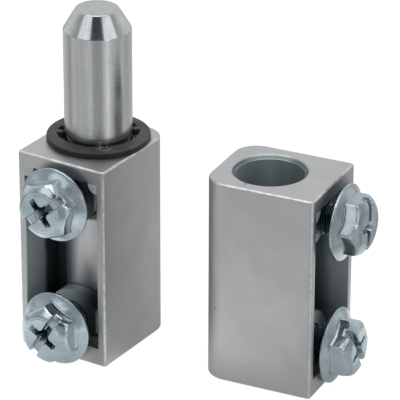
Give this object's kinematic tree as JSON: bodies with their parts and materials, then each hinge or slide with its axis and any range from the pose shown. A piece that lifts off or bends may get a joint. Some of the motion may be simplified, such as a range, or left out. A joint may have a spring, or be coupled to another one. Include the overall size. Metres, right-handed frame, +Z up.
{
  "type": "lift-off cabinet hinge",
  "caption": "Lift-off cabinet hinge with a pin half and a socket half, each a cast block clamped by flange screws.",
  "frame": {"origin": "on the pin's axis, at the flat foot of the pin half's block", "axes": "+Z up the pin, out of its free end; -Y is the way the pin half's screw face looks; the socket half stands on the +X side, lifted off, with its bore open upwards"},
  "size_m": [0.0505, 0.0279, 0.0523],
  "materials": {
    "cast_zinc": "satin zinc die-casting with fine grain and brighter rubbed edges",
    "bright_steel": "bright drawn steel with faint lengthwise streaks",
    "plated_steel": "bluish bright zinc plating",
    "black_plastic": "matt black moulded plastic"
  },
  "bodies": {
    "pin_half": {"pin_block": "cast_zinc", "hinge_pin": "bright_steel", "thrust_washer": "black_plastic", "pin_half_lower_screw": "plated_steel", "pin_half_upper_screw": "plated_steel"},
    "socket_half": {"socket_block": "cast_zinc", "socket_half_lower_screw": "plated_steel", "socket_half_upper_screw": "plated_steel"}
  },
  "joints": [
    {"name": "leaf_swing", "type": "hinge", "parent": "pin_half", "child": "socket_half", "pos_m": [0.02696, 0.00391, 0], "axis": [0, 0, 1], "range_deg": [-96.8, 83.2]}
  ]
}
